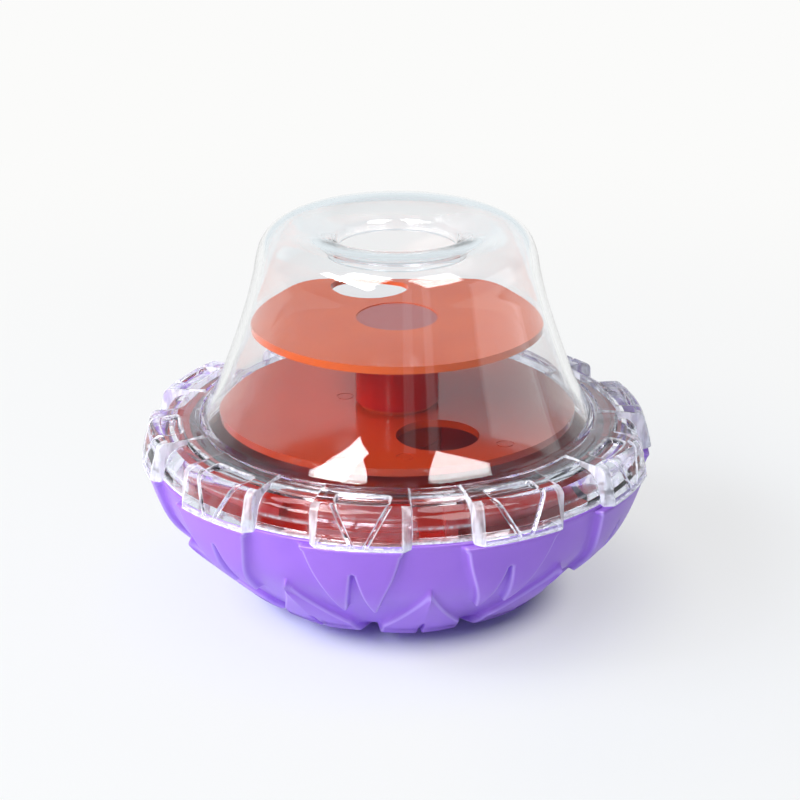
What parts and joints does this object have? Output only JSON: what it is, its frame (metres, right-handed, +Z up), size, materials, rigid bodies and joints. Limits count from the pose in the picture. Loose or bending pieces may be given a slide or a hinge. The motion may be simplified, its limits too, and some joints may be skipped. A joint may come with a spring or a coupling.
{
  "type": "wobble treat toy",
  "caption": "Weighted wobbling treat dispenser: petalled bowl, two turning maze discs under a clear dome with a top mouth, held by a twist-lock clear ring.",
  "frame": {"origin": "middle of the flat foot, on the surface that the toy rests on", "axes": "+Z up along the spindle, -Y towards the viewer of the picture"},
  "size_m": [0.154, 0.154, 0.1166],
  "materials": {
    "purple_satin": "satin moulded plastic",
    "orange_gloss": "glossy, slightly translucent moulded plastic",
    "clear_gloss": "clear polished plastic",
    "cast_ballast": "dull cast",
    "screw_steel": "zinc plated"
  },
  "bodies": {
    "base": {"bowl": "purple_satin", "ballast_weight": "cast_ballast", "ballast_screws": "screw_steel", "catch_tray": "orange_gloss", "spindle": "orange_gloss", "spindle_screw": "screw_steel"},
    "lower_disc": {"lower_disc": "orange_gloss"},
    "upper_disc": {"upper_disc": "orange_gloss"},
    "dome": {"clear_dome": "clear_gloss"},
    "lock_ring": {"lock_ring": "clear_gloss"}
  },
  "joints": [
    {"name": "lower_disc_turn", "type": "hinge", "parent": "base", "child": "lower_disc", "pos_m": [0, 0, 0.059], "axis": [0, 0, 1], "continuous": true},
    {"name": "upper_disc_turn", "type": "hinge", "parent": "base", "child": "upper_disc", "pos_m": [0, 0, 0.0863], "axis": [0, 0, 1], "continuous": true},
    {"name": "dome_lift", "type": "slide", "parent": "base", "child": "dome", "axis": [0, 0, 1], "range_m": [0, 0.08]},
    {"name": "ring_twist", "type": "hinge", "parent": "dome", "child": "lock_ring", "pos_m": [0, 0, 0.0545], "axis": [0, 0, 1], "range_deg": [-36, 0]}
  ]
}
